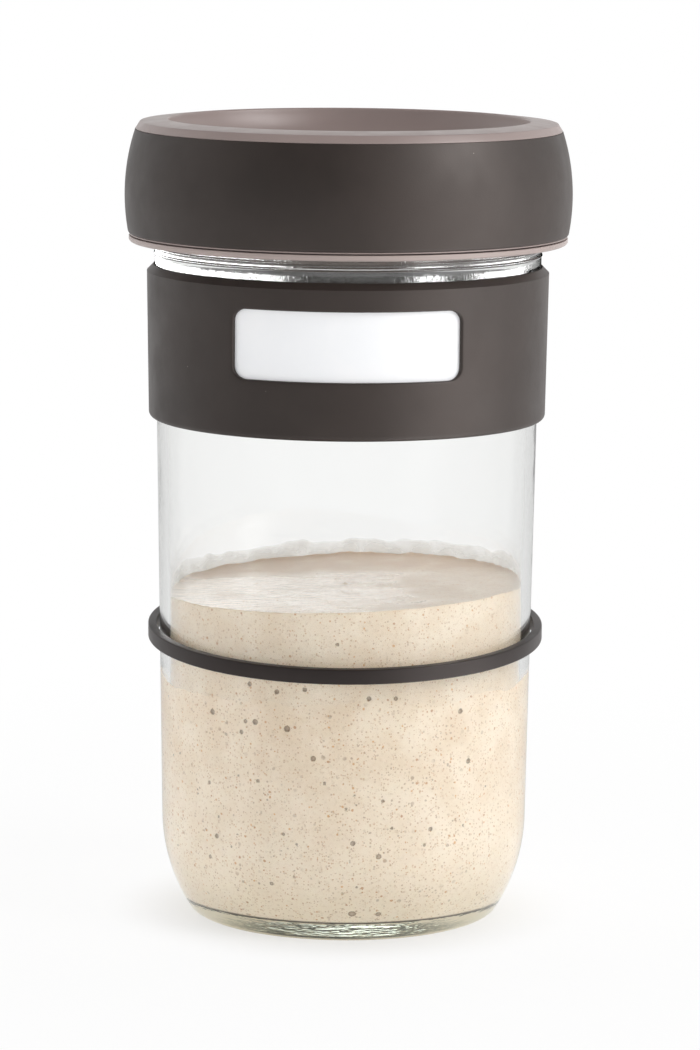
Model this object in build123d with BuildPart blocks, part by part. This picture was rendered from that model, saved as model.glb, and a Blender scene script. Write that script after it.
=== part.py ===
from build123d import *

import math
import os

# Sourdough starter jar, in millimetres.
# The origin is the middle of the base on the table, +Z runs up the jar's axis,
# and the label window faces -Y.

# Glass jar
jar_height = 181.8
neck_radius = 46.7
neck_wall = 4.1
neck_height = 21.8
bore_height = 26.8
bore_blend_height = 12.0
wall_lean = 2.1
heel_height = 23.5
heel_reach = 8.9
body_wall = 2.4
bearing_width = 3.4
bearing_rounding = 2.8
punt_step = 0.8
punt_step_width = 1.2
punt_rise = 1.9
base_thickness = 5.0
floor_inset = 5.2
floor_rounding = 6.0
rim_rounding = 1.6

# Sourdough starter inside the jar
starter_level = 81.0
starter_gap = 0.1
starter_edge_rounding = 0.8

# Label band, a silicone sleeve stretched over the upper body
band_drop = 23.0
band_height = 37.0
band_thickness = 1.7
band_gap = 0.25
band_top_land = 0.15
band_foot_rounding = 1.4
window_width = 53.6
window_height = 16.5
window_drop = 14.9
window_corner = 2.9
window_edge_rounding = 0.45

# Label plate, a thin writable strip held behind the window
plate_margin = 3.2
plate_thickness = 0.6
plate_corner = 2.4
pocket_gap = 0.12

# Level ring, a narrow silicone ring that marks the starter's height
ring_to_band = 17.8
ring_gap = 0.2
ring_thickness = 2.1
ring_height = 3.55
ring_middle = 69.6
ring_tilt = 4.0
ring_edge_rounding = 0.35

# Lid liner, the inner shell with the lip under the sleeve and the plug in the neck
lid_height = 29.6
neck_gap = 0.3
rim_gap = 0.2
liner_skirt_wall = 1.4
liner_disc = 1.4
lip_width = 2.8
lip_height = 1.4
lip_rounding = 1.1
lead_in = 0.5
plug_gap = 1.2
plug_wall = 1.8
plug_depth = 19.4

# Lid cap, the outer shell with the recessed top, seated on the liner
shell_gap = 0.1
lip_gap = 0.3
cap_wall = 2.0
cap_skirt_wall = 1.7
cap_flange_width = 2.7
cap_flange_thickness = 0.4
rim_width = 6.6
rim_band_height = 2.7
rim_band_lean = 1.2
rim_shoulder_drop = 0.7
rim_thickness = 2.3
recess_depth = 8.5
dish_width = 8.1
recess_edge_rounding = 0.9
snap_rise = 10.0
snap_depth = 0.35
snap_half_height = 0.6

# Lid grip sleeve, the barrel-shaped silicone cover round the cap
sleeve_head_thickness = 1.3
sleeve_bulge_thickness = 3.8
sleeve_foot_thickness = 2.95
sleeve_bulge_rise = 9.7
sleeve_foot_rounding = 0.7

# Lid seal, the silicone ring round the foot of the plug
seal_seat_depth = 0.75
seal_height = 10.0
seal_wall = 0.95
seal_foot = 1.05
seal_foot_gap = 0.6
seal_bore_gap = 0.3
fin_count = 3
fin_pitch = 3.0
fin_first = 2.0
fin_half_height = 0.5
fin_tip_half_height = 0.12
vent_count = 4
vent_width = 3.0

# Cuts run past the faces they open by this much.
overrun = 5.0

# The body wall leans out a little from the heel to the neck.
wall_foot = Vector(neck_radius - wall_lean, heel_height)
wall_top = Vector(neck_radius, jar_height - neck_height)
wall_rise = (wall_top - wall_foot).normalized()
wall_normal = Vector(wall_rise.Y, -wall_rise.X)


def wall_point(height, out=0.0):
    """Point of the section at this height, this far out from the outside of the glass wall."""
    start = wall_foot + wall_normal * out
    return start + wall_rise * ((height - start.Y) / wall_rise.Y)


def draw_heel(foot_of_wall, edge_of_floor, rounding):
    """Heel of the section: a wide arc down from the wall, then a tight one into the floor."""
    tight_centre = edge_of_floor + Vector(0, rounding)
    reach = tight_centre - foot_of_wall
    wide_radius = (rounding**2 - reach.dot(reach)) / (2 * (reach.dot(wall_normal) + rounding))
    wide_centre = foot_of_wall - wall_normal * wide_radius
    meeting = wide_centre + (tight_centre - wide_centre).normalized() * wide_radius
    wide = TangentArc(foot_of_wall, meeting, tangent=-wall_rise)
    TangentArc(wide @ 1, edge_of_floor, tangent=wide % 1)


def upright_plane(azimuth):
    """Plane through the jar's axis, with its X pointing out at this angle from +X."""
    turn = math.radians(azimuth)
    return Plane(
        origin=(0, 0, 0),
        x_dir=(math.cos(turn), math.sin(turn), 0),
        z_dir=(math.sin(turn), -math.cos(turn), 0),
    )


def distance_from_axis(edge):
    """How far the middle of an edge lies from the jar's axis."""
    middle = edge @ 0.5
    return math.hypot(middle.X, middle.Y)


def finish(name, builder):
    """Labels a finished piece and writes it to its own file."""
    builder.part.label = name
    export_step(builder.part, f"parts/{name}.step")


os.makedirs("parts", exist_ok=True)

# Glass jar: heavy base with a push-up, wide heel, thin leaning wall and thick straight neck
bore_radius = neck_radius - neck_wall
bore_foot = Vector(bore_radius, jar_height - bore_height)
inner_wall_head = wall_point(bore_foot.Y - bore_blend_height, -body_wall)
inner_wall_foot = wall_foot - wall_normal * body_wall
bearing_edge = Vector(wall_foot.X - heel_reach, 0)
inner_floor_edge = Vector(bearing_edge.X - floor_inset, base_thickness)
punt_radius = bearing_edge.X - bearing_width

with BuildPart() as glass_jar:
    with BuildSketch(Plane.XZ):
        with BuildLine():
            punt = TangentArc((0, punt_rise), (punt_radius - punt_step_width, punt_step), tangent=(1, 0))
            Polyline(punt @ 1, (punt_radius, 0), bearing_edge)
            draw_heel(wall_foot, bearing_edge, bearing_rounding)
            Polyline(
                wall_foot,
                wall_top,
                (neck_radius, jar_height),
                (bore_radius, jar_height),
                bore_foot,
            )
            Spline(bore_foot, inner_wall_head, tangents=[(0, -1), -wall_rise])
            Line(inner_wall_head, inner_wall_foot)
            draw_heel(inner_wall_foot, inner_floor_edge, floor_rounding)
            Polyline(inner_floor_edge, (0, base_thickness), (0, punt_rise))
        make_face()
    revolve(axis=Axis.Z)
    fillet(glass_jar.edges().group_by(Axis.Z)[-1], rim_rounding)
finish("glass_jar", glass_jar)

# Sourdough starter: fills the jar to its level
starter_wall_foot = wall_foot - wall_normal * (body_wall + starter_gap)
starter_floor_edge = inner_floor_edge + Vector(0, starter_gap)
starter_wall_head = wall_point(starter_level, -body_wall - starter_gap)

with BuildPart() as sourdough_starter:
    with BuildSketch(Plane.XZ):
        with BuildLine():
            draw_heel(starter_wall_foot, starter_floor_edge, floor_rounding)
            Polyline(
                starter_wall_foot,
                starter_wall_head,
                (0, starter_level),
                (0, starter_floor_edge.Y),
                starter_floor_edge,
            )
        make_face()
    revolve(axis=Axis.Z)
    fillet(sourdough_starter.edges().group_by(Axis.Z)[-1], starter_edge_rounding)
finish("sourdough_starter", sourdough_starter)

# The band sits below the neck, and the window sits near the band's top.
band_top = jar_height - band_drop
band_bottom = band_top - band_height
window_middle = band_top - window_drop

# Label plate: a strip of the wall's cone, wider and taller than the window all round
plate_bottom = window_middle - window_height / 2 - plate_margin
plate_top = window_middle + window_height / 2 + plate_margin
plate_half_width = window_width / 2 + plate_margin
plate_radius = wall_point(window_middle, band_gap).X
plate_half_angle = math.degrees(math.asin(plate_half_width / plate_radius))


def draw_strip_section(bottom, top, inside, outside):
    """Section of a strip that follows the wall between two heights and two distances from it."""
    Polyline(
        wall_point(bottom, inside),
        wall_point(bottom, outside),
        wall_point(top, outside),
        wall_point(top, inside),
        close=True,
    )


with BuildPart() as label_plate:
    with BuildSketch(upright_plane(-90 - plate_half_angle)):
        with BuildLine():
            draw_strip_section(plate_bottom, plate_top, band_gap, band_gap + plate_thickness)
        make_face()
    revolve(axis=Axis.Z, revolution_arc=2 * plate_half_angle)
    plate_corners = label_plate.edges().filter_by(lambda edge: edge.length < 2 * plate_thickness)
    fillet(plate_corners, plate_corner)
finish("label_plate", label_plate)

# Label band: a chamfered top edge, a rounded foot, a window and the plate's pocket behind it
band_outside = band_gap + band_thickness
band_chamfer = band_thickness - band_top_land
pocket_depth = band_gap + plate_thickness + pocket_gap
pocket_half_angle = plate_half_angle + math.degrees(pocket_gap / plate_radius)

with BuildPart() as label_band:
    with BuildSketch(Plane.XZ):
        with BuildLine():
            Polyline(
                wall_point(band_bottom, band_gap),
                wall_point(band_bottom, band_outside),
                wall_point(band_top - band_chamfer, band_outside),
                wall_point(band_top, band_gap + band_top_land),
                wall_point(band_top, band_gap),
                close=True,
            )
        make_face()
    revolve(axis=Axis.Z)
    band_foot_edge = label_band.edges().group_by(Axis.Z)[0].sort_by(SortBy.RADIUS)[-1]
    fillet(band_foot_edge, band_foot_rounding)
    with BuildSketch(Plane.XZ):
        with Locations((0, window_middle)):
            RectangleRounded(window_width, window_height, window_corner)
    extrude(amount=neck_radius + band_outside + overrun, mode=Mode.SUBTRACT)
    window_edges = label_band.edges().filter_by(
        lambda edge: abs((edge @ 0.5).Z - window_middle) < window_height / 2 + window_edge_rounding
        and distance_from_axis(edge) > wall_point((edge @ 0.5).Z, band_thickness).X
    )
    fillet(window_edges, window_edge_rounding)
    with BuildSketch(upright_plane(-90 - pocket_half_angle)):
        with BuildLine():
            draw_strip_section(
                plate_bottom - pocket_gap,
                plate_top + pocket_gap,
                band_gap - pocket_gap,
                pocket_depth,
            )
        make_face()
    revolve(axis=Axis.Z, revolution_arc=2 * pocket_half_angle, mode=Mode.SUBTRACT)
finish("label_band", label_band)

# Level ring: a band cut from an upright tube by two tilted planes, lower at the front.
# Its bore clears the glass at the highest place that it slides to, a little below the band.
ring_inner_radius = wall_point(band_bottom - ring_to_band).X + ring_gap
ring_outer_radius = ring_inner_radius + ring_thickness
ring_plane = Plane.XY.offset(ring_middle).rotated((ring_tilt, 0, 0))
ring_reach = ring_height + ring_outer_radius * math.tan(math.radians(ring_tilt))

with BuildPart() as level_ring:
    with BuildSketch(Plane.XY.offset(ring_middle)):
        Circle(ring_outer_radius)
        Circle(ring_inner_radius, mode=Mode.SUBTRACT)
    extrude(amount=ring_reach, both=True)
    split(bisect_by=ring_plane.offset(ring_height / 2), keep=Keep.BOTTOM)
    split(bisect_by=ring_plane.offset(-ring_height / 2), keep=Keep.TOP)
    ring_edges = level_ring.edges().filter_by(
        lambda edge: edge.length > math.pi * ring_inner_radius
        and distance_from_axis(edge) > ring_inner_radius + ring_thickness / 2
    )
    fillet(ring_edges, ring_edge_rounding)
finish("level_ring", level_ring)

# The lid is stacked outwards and upwards from the glass neck it closes.
liner_skirt_inner = neck_radius + neck_gap
liner_skirt_outer = liner_skirt_inner + liner_skirt_wall
cap_skirt_inner = liner_skirt_outer + shell_gap
sleeve_seat_radius = cap_skirt_inner + cap_skirt_wall
disc_underside = jar_height + rim_gap
disc_top = disc_underside + liner_disc
dish_underside = disc_top + shell_gap
dish_floor = dish_underside + cap_wall
rim_top = dish_floor + recess_depth
lip_bottom = rim_top - lid_height
lip_top = lip_bottom + lip_height
flange_bottom = lip_top + lip_gap
flange_top = flange_bottom + cap_flange_thickness
sleeve_top = rim_top - rim_band_height
snap_height = lip_top + snap_rise

# Lid liner: a disc over the glass rim, a skirt outside the neck and a plug inside it
lip_radius = sleeve_seat_radius + lip_width
plug_radius = bore_radius - plug_gap
plug_inner = plug_radius - plug_wall
plug_bottom = disc_underside - plug_depth
seal_seat_radius = plug_radius - seal_seat_depth
seal_seat_top = plug_bottom + seal_height

with BuildPart() as lid_liner:
    with BuildSketch(Plane.XZ):
        with BuildLine():
            Polyline(
                (0, disc_top),
                (liner_skirt_outer, disc_top),
                (liner_skirt_outer, snap_height + snap_half_height),
                (liner_skirt_outer + snap_depth, snap_height),
                (liner_skirt_outer, snap_height - snap_half_height),
                (liner_skirt_outer, lip_top),
                (lip_radius, lip_top),
                (lip_radius, lip_bottom),
                (liner_skirt_inner, lip_bottom),
                (liner_skirt_inner, disc_underside),
                (plug_radius, disc_underside),
                (plug_radius, seal_seat_top),
                (seal_seat_radius, seal_seat_top),
                (seal_seat_radius, plug_bottom),
                (plug_inner, plug_bottom),
                (plug_inner, disc_underside),
                (0, disc_underside),
                close=True,
            )
        make_face()
    revolve(axis=Axis.Z)
    lip_edges = lid_liner.edges().filter_by_position(Axis.Z, lip_bottom, lip_bottom)
    fillet(lip_edges.sort_by(SortBy.RADIUS)[-1], lip_rounding)
    skirt_edges = lid_liner.edges().filter_by_position(Axis.Z, lip_bottom, lip_bottom)
    chamfer(skirt_edges.sort_by(SortBy.RADIUS)[0], lead_in)
finish("lid_liner", lid_liner)

# Lid cap: a raised rim round a dished recess, a skirt and a thin flange that carries the sleeve
rim_outer_radius = sleeve_seat_radius + sleeve_head_thickness
rim_shoulder = (rim_outer_radius - rim_band_lean, rim_top - rim_shoulder_drop)
rim_underside = rim_top - rim_thickness
recess_floor_radius = sleeve_seat_radius - rim_width - dish_width
dish_centre = (recess_floor_radius, rim_top)
under_dish_rise = rim_top - dish_underside
under_dish_sweep = 90 - math.degrees(math.asin(rim_thickness / under_dish_rise))
cap_flange_radius = sleeve_seat_radius + cap_flange_width

with BuildPart() as lid_cap:
    with BuildSketch(Plane.XZ):
        with BuildLine():
            dish = EllipticalCenterArc(dish_centre, dish_width, recess_depth, start_angle=270, arc_size=90)
            under_dish = EllipticalCenterArc(
                dish_centre,
                dish_width + cap_wall,
                under_dish_rise,
                start_angle=270,
                arc_size=under_dish_sweep,
            )
            Polyline(
                under_dish @ 1,
                (cap_skirt_inner, rim_underside),
                (cap_skirt_inner, snap_height + snap_half_height),
                (cap_skirt_inner + snap_depth, snap_height),
                (cap_skirt_inner, snap_height - snap_half_height),
                (cap_skirt_inner, flange_bottom),
                (cap_flange_radius, flange_bottom),
                (cap_flange_radius, flange_top),
                (sleeve_seat_radius, flange_top),
                (sleeve_seat_radius, sleeve_top),
                (rim_outer_radius, sleeve_top),
                rim_shoulder,
                dish @ 1,
            )
            Polyline(dish @ 0, (0, dish_floor), (0, dish_underside), under_dish @ 0)
        make_face()
    revolve(axis=Axis.Z)
    recess_edge = lid_cap.edges().group_by(Axis.Z)[-1]
    fillet(recess_edge, recess_edge_rounding)
finish("lid_cap", lid_cap)

# Lid grip sleeve: its outside is one arc from the rim, out to the bulge and in to the foot
sleeve_foot_radius = sleeve_seat_radius + sleeve_foot_thickness

with BuildPart() as lid_grip_sleeve:
    with BuildSketch(Plane.XZ):
        with BuildLine():
            ThreePointArc(
                (rim_outer_radius, sleeve_top),
                (sleeve_seat_radius + sleeve_bulge_thickness, flange_top + sleeve_bulge_rise),
                (sleeve_foot_radius, flange_top),
            )
            Polyline(
                (sleeve_foot_radius, flange_top),
                (sleeve_seat_radius, flange_top),
                (sleeve_seat_radius, sleeve_top),
                (rim_outer_radius, sleeve_top),
            )
        make_face()
    revolve(axis=Axis.Z)
    sleeve_foot_edge = lid_grip_sleeve.edges().group_by(Axis.Z)[0].sort_by(SortBy.RADIUS)[-1]
    fillet(sleeve_foot_edge, sleeve_foot_rounding)
finish("lid_grip_sleeve", lid_grip_sleeve)

# Lid seal: a ring with fins towards the glass and a foot that wraps under the plug
seal_base_radius = seal_seat_radius + seal_wall
seal_tip_radius = bore_radius - seal_bore_gap
seal_foot_radius = bore_radius - seal_foot_gap
seal_bottom = plug_bottom - seal_foot
seal_outline = [
    (plug_inner, plug_bottom),
    (plug_inner, seal_bottom),
    (seal_foot_radius, seal_bottom),
    (seal_foot_radius, plug_bottom),
    (seal_base_radius, plug_bottom),
]
for fin in range(fin_count):
    fin_height = plug_bottom + fin_first + fin_pitch * fin
    seal_outline += [
        (seal_base_radius, fin_height - fin_half_height),
        (seal_tip_radius, fin_height - fin_tip_half_height),
        (seal_tip_radius, fin_height + fin_tip_half_height),
        (seal_base_radius, fin_height + fin_half_height),
    ]
seal_outline += [
    (seal_base_radius, seal_seat_top),
    (seal_seat_radius, seal_seat_top),
    (seal_seat_radius, plug_bottom),
]

with BuildPart() as lid_seal:
    with BuildSketch(Plane.XZ):
        with BuildLine():
            Polyline(*seal_outline, close=True)
        make_face()
    revolve(axis=Axis.Z)
    # Gas from the starter leaves through upright notches in the fins.
    with BuildSketch(Plane.XY.offset(plug_bottom)):
        with PolarLocations(seal_tip_radius, vent_count, start_angle=180 / vent_count):
            Rectangle(2 * (seal_tip_radius - seal_base_radius), vent_width)
    extrude(amount=seal_height + overrun, mode=Mode.SUBTRACT)
finish("lid_seal", lid_seal)
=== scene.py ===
import math
import random

import bmesh
import bpy
import numpy as np
from mathutils import Matrix, Vector, noise


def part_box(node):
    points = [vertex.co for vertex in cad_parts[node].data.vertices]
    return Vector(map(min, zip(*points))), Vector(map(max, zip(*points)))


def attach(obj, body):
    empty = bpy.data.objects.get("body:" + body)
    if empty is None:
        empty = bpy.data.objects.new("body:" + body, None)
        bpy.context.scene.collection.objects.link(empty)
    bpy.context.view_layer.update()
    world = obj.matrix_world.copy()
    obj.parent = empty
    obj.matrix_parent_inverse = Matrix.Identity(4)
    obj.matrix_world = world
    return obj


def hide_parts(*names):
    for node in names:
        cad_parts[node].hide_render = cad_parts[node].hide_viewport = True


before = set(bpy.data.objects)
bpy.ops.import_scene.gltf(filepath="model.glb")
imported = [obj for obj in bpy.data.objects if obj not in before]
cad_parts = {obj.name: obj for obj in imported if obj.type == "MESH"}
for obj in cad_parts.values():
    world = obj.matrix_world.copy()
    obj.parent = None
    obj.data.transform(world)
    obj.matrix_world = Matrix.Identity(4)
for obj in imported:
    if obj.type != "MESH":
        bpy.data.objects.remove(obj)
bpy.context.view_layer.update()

# Sizes here are in millimetres, and each mesh is scaled to metres as it is made.
MM = 0.001
SEGMENTS = 384
WHITE = (1.0, 1.0, 1.0, 1.0)


def corners(node):
    """Lowest and highest corner of a CAD node, in millimetres."""
    low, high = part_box(node)
    return low / MM, high / MM


# Glass jar
jar_height = corners("glass_jar")[1].z
neck_radius = corners("glass_jar")[1].x
neck_wall = 4.1
neck_height = 21.8
bore_height = 26.8
bore_blend_height = 12.0
wall_lean = 2.1
heel_height = 23.5
heel_reach = 8.9
body_wall = 2.4
bearing_width = 3.4
bearing_rounding = 2.8
punt_step = 0.8
punt_step_width = 1.2
punt_rise = 1.9
punt_rounding = 0.4
base_thickness = 5.0
floor_inset = 5.2
floor_rounding = 6.0
rim_rounding = 1.6
neck_bead_heights = (161.7, 163.1)
neck_bead_reach = 0.24
neck_bead_width = 0.9
glass_waviness = 0.05
heel_steps = 20
wall_steps = 60
bead_steps = 10
bore_blend_steps = 12
punt_steps = 12
floor_steps = 8
neck_polish_heights = (157.5, 158.5)
neck_polish_radius = 45.0
foot_streak_heights = (5.5, 3.5)

# Sourdough starter
starter_level = corners("sourdough_starter")[1].z
starter_wetting = 0.08
starter_air_gap = 0.08
starter_lean = 0.037
starter_edge_rise = 0.55
starter_sink = 0.3
wetting_line = 58.0
wetting_line_depth = 2.2
wetting_blend = 1.6
row_spacing = 0.5
starter_segments = 540
# Painted shade: a dark line at the starter's lower corner, and on its underside a painted shadow in the
# middle that fades to pale at the sides
corner_shade_heights = (5.7, 5.2)
underside_shade_radii = (31.2, 30.5)
starter_shadow_radii = (9.0, 24.0)
# Painted light: heights over which the starter turns paler toward its bottom
painted_light_heights = (50.0, 12.0)
starter_airy_heights = (62.0, 52.0)
starter_heel_steps = 48
starter_top_steps = 60
edge_climb_width = 2.2
edge_calm_width = 3.0
edge_lift_height = 6.0
crust_depth = 4.0
noise_radius = 40

# Smear of starter on the glass
smear_gap = 0.04
smear_thickness = 0.12
smear_start, smear_end = math.radians(-22), math.radians(202)
smear_reach = 3.7
smear_least = 0.4
smear_drop = 0.8

# Label band and plate
band_bottom = corners("label_band")[0].z
band_top = corners("label_band")[1].z
band_thickness = 1.7
band_gap = 0.25
band_top_land = 0.15
band_foot_rounding = 1.4
band_top_rounding = 0.08
window_width = 53.6
window_height = 16.5
window_drop = 14.9
window_corner = 2.9
window_edge_rounding = 0.45
plate_margin = 3.2
plate_thickness = 0.6
plate_corner = 2.4
pocket_gap = 0.12

# Level ring
ring_outer_radius = corners("level_ring")[1].x
ring_thickness = 2.1
ring_height = 3.55
ring_middle = (corners("level_ring")[0].z + corners("level_ring")[1].z) / 2
ring_tilt = math.radians(4.0)
ring_edge_rounding = 0.35

# Lid
neck_gap = 0.3
rim_gap = 0.2
liner_skirt_wall = 1.4
liner_disc = 1.4
lip_gap = 0.3
lip_radius = corners("lid_liner")[1].x
lip_height = 1.4
lip_rounding = 1.1
plug_gap = 1.2
plug_wall = 1.8
plug_depth = 19.4
seal_seat_depth = 0.75
seal_height = 10.0
shell_gap = 0.1
cap_wall = 2.0
cap_skirt_wall = 1.7
flange_bottom = corners("lid_cap")[0].z
flange_top = corners("lid_grip_sleeve")[0].z
flange_radius = corners("lid_cap")[1].x
rim_top = corners("lid_cap")[1].z
rim_width = 6.6
rim_band_lean = 1.2
rim_shoulder_drop = 0.7
rim_shoulder_rounding = 0.5
rim_thickness = 2.3
recess_depth = 8.5
dish_width = 8.1
recess_edge_rounding = 0.9
sleeve_top = corners("lid_grip_sleeve")[1].z
sleeve_head_thickness = 1.3
sleeve_bulge_thickness = 3.8
sleeve_foot_thickness = 2.95
sleeve_bulge_rise = 9.7
sleeve_foot_rounding = 0.7
edge_softness = 0.18

# The glass wall's cone, as points of a section: x is the radius and y the height
wall_foot = Vector((neck_radius - wall_lean, heel_height))
wall_top = Vector((neck_radius, jar_height - neck_height))
wall_rise = (wall_top - wall_foot).normalized()
wall_normal = Vector((wall_rise.y, -wall_rise.x))
bore_radius = neck_radius - neck_wall
bearing_edge = Vector((wall_foot.x - heel_reach, 0))
inner_floor_edge = Vector((bearing_edge.x - floor_inset, base_thickness))
window_middle = band_top - window_drop


def wall_point(height, out=0.0):
    """Point of the section at this height, this far out from the outside of the glass wall."""
    start = wall_foot + wall_normal * out
    return start + wall_rise * ((height - start.y) / wall_rise.y)


def section_spot(heel, out, height):
    """Point and outward normal of a wall's section at this height, down into its heel."""
    if height >= heel_height:
        return wall_point(height, out), wall_normal
    for high, low in zip(heel, heel[1:]):
        if low.y <= height:
            break
    run = (low - high).normalized()
    return high.lerp(low, (high.y - height) / (high.y - low.y)), Vector((-run.y, run.x))


def sweep_arc(centre, start, end, steps):
    """Points of the shorter arc about a centre, from start to end, without the start."""
    first, last = Vector(start) - Vector(centre), Vector(end) - Vector(centre)
    turn = math.atan2(first.x * last.y - first.y * last.x, first.dot(last))
    points = []
    for step in range(1, steps + 1):
        cosine, sine = math.cos(turn * step / steps), math.sin(turn * step / steps)
        arm = Vector((first.x * cosine - first.y * sine, first.x * sine + first.y * cosine))
        points.append(Vector(centre) + arm)
    return points


def heel_points(foot_of_wall, edge_of_floor, rounding, steps):
    """Heel of the section, as in the CAD: a wide arc down from the wall, then a tight one."""
    tight_centre = edge_of_floor + Vector((0, rounding))
    reach = tight_centre - foot_of_wall
    wide_radius = (rounding**2 - reach.dot(reach)) / (2 * (reach.dot(wall_normal) + rounding))
    wide_centre = foot_of_wall - wall_normal * wide_radius
    meeting = wide_centre + (tight_centre - wide_centre).normalized() * wide_radius
    wide = sweep_arc(wide_centre, foot_of_wall, meeting, steps)
    return wide + sweep_arc(tight_centre, meeting, edge_of_floor, steps // 2)


outer_heel = [wall_foot] + heel_points(wall_foot, bearing_edge, bearing_rounding, heel_steps)
inner_foot = wall_foot - wall_normal * body_wall
inner_heel = [inner_foot] + heel_points(inner_foot, inner_floor_edge, floor_rounding, heel_steps)


def soften(points, steps=4, closed=True, common=0.0):
    """Outline with each corner (radius, height, rounding) made an arc of its own or the common rounding."""
    outline = []
    for index, corner in enumerate(points):
        here = Vector(corner[:2])
        rounding = corner[2] if len(corner) > 2 else common
        if rounding <= 0 or (not closed and index in (0, len(points) - 1)):
            outline.append(here)
            continue
        before = Vector(points[index - 1][:2]) - here
        after = Vector(points[(index + 1) % len(points)][:2]) - here
        half = before.angle(after) / 2
        reach = min(rounding / math.tan(half), 0.49 * before.length, 0.49 * after.length)
        radius = reach * math.tan(half)
        start = here + before.normalized() * reach
        centre = here + (before.normalized() + after.normalized()).normalized() * radius / math.sin(half)
        outline += [start] + sweep_arc(centre, start, here + after.normalized() * reach, steps)
    return outline


def spread(start, end, count):
    """Points along a straight run, without its start."""
    return [start.lerp(end, step / count) for step in range(1, count + 1)]


def between(start, end, share):
    """Pair of numbers part of the way from one pair to another."""
    return (start[0] + (end[0] - start[0]) * share, start[1] + (end[1] - start[1]) * share)


def hold(value, low=0.0, high=1.0):
    """Value held between two limits."""
    return min(max(value, low), high)


def ease(share):
    """Share from 0 to 1 that starts and ends softly."""
    share = hold(share)
    return share * share * (3 - 2 * share)


def add_object(name, data):
    """New object in the scene that shows this data."""
    made = bpy.data.objects.new(name, data)
    bpy.context.scene.collection.objects.link(made)
    return made


def make_mesh(name, points, faces, crease=35.0):
    """Object with a smooth-shaded mesh of these points, in millimetres, sharp above the crease angle."""
    mesh = bpy.data.meshes.new(name)
    mesh.from_pydata([tuple(point) for point in np.asarray(points) * MM], [], faces)
    shape = bmesh.new()
    shape.from_mesh(mesh)
    bmesh.ops.remove_doubles(shape, verts=shape.verts, dist=1e-4 * MM)
    bmesh.ops.recalc_face_normals(shape, faces=shape.faces)
    shape.to_mesh(mesh)
    shape.free()
    mesh.polygons.foreach_set("use_smooth", [True] * len(mesh.polygons))
    mesh.set_sharp_from_angle(angle=math.radians(crease))
    return add_object(name, mesh)


def turned(angle, across, height):
    """Point of a section at this distance from the axis, turned to this angle about it."""
    return (across * math.cos(angle), across * math.sin(angle), height)


def turned_grid(outline, segments):
    """Points and rings of an outline turned round the axis. A point on the axis is one vertex."""
    points, rings = [], []
    for spot in outline:
        if abs(spot[0]) < 1e-9:
            rings.append([len(points)] * segments)
            points.append((0, 0, spot[1]))
            continue
        first = len(points)
        rings.append(list(range(first, first + segments)))
        points += [turned(2 * math.pi * step / segments, *spot) for step in range(segments)]
    return points, rings


def ring_faces(lower, upper):
    """Faces between two rings of points."""
    faces = []
    for step in range(len(lower)):
        following = (step + 1) % len(lower)
        corner_list = [lower[step], lower[following], upper[following], upper[step]]
        faces.append(tuple(dict.fromkeys(corner_list)))
    return faces


def grid_faces(grid):
    """Faces of a grid of points, given column by column."""
    faces = []
    for here, there in zip(grid, grid[1:]):
        for row in range(len(here) - 1):
            faces.append((here[row], there[row], there[row + 1], here[row + 1]))
    return faces


def grid_rim(grid):
    """Points round the border of a grid."""
    around = [line[0] for line in grid] + grid[-1][1:] + [line[-1] for line in reversed(grid[:-1])]
    return around + list(reversed(grid[0][1:-1]))


def make_shell(name, columns, rows, depths, spot, crease=35.0):
    """Closed shell between two grids. spot makes a point from shares of the columns and rows, and a depth."""
    points, grids = [], []
    for depth in depths:
        grids.append([])
        for column in range(columns + 1):
            grids[-1].append(list(range(len(points), len(points) + rows + 1)))
            points += [spot(column / columns, row / rows, depth) for row in range(rows + 1)]
    front, back = grids
    faces = grid_faces(front) + grid_faces(back) + ring_faces(grid_rim(front), grid_rim(back))
    return make_mesh(name, points, faces, crease)


def lathe(name, outline, closed=True, crease=35.0, shape=None):
    """Object made by turning an outline round the axis. shape may move its points."""
    points, rings = turned_grid(outline, SEGMENTS)
    faces = []
    for index in range(len(rings) - (0 if closed else 1)):
        faces += ring_faces(rings[index], rings[(index + 1) % len(rings)])
    if shape:
        points = [shape(*point) for point in points]
    return make_mesh(name, points, faces, crease)


def wave(x, y, z, size, seed):
    """Smooth noise from -1 to 1 whose bumps are about this many millimetres apart."""
    return noise.noise(Vector((x / size + seed, y / size - seed, z / size + 2 * seed)))


def round_wave(across, along, size, seed):
    """Noise that changes round the jar only, in the direction (across, along) from its axis."""
    return wave(across * noise_radius, along * noise_radius, 0, size, seed)


def wall_unevenness(x, y, z):
    """How far the inside of the glass wall is out of true here."""
    return glass_waviness * wave(x, y, z * 0.4, 19.0, 3.1)


# Materials
def srgb(red, green, blue):
    """Linear colour from 0 to 255 display values."""
    parts = []
    for value in (red, green, blue):
        share = value / 255
        parts.append(share / 12.92 if share <= 0.04045 else ((share + 0.055) / 1.055) ** 2.4)
    return (*parts, 1.0)


def shaded(colour, share):
    """Colour made darker or lighter."""
    return tuple(min(part * share, 1.0) for part in colour[:3]) + (1.0,)


def in_metres(span):
    """Two lengths in metres."""
    return tuple(length * MM for length in span)


def toward(azimuth, elevation=0.0):
    """Unit vector at an azimuth counted to the right of the camera, and an elevation, in degrees."""
    turn, rise = math.radians(azimuth), math.radians(elevation)
    return (math.sin(turn) * math.cos(rise), -math.cos(turn) * math.cos(rise), math.sin(rise))


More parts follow.
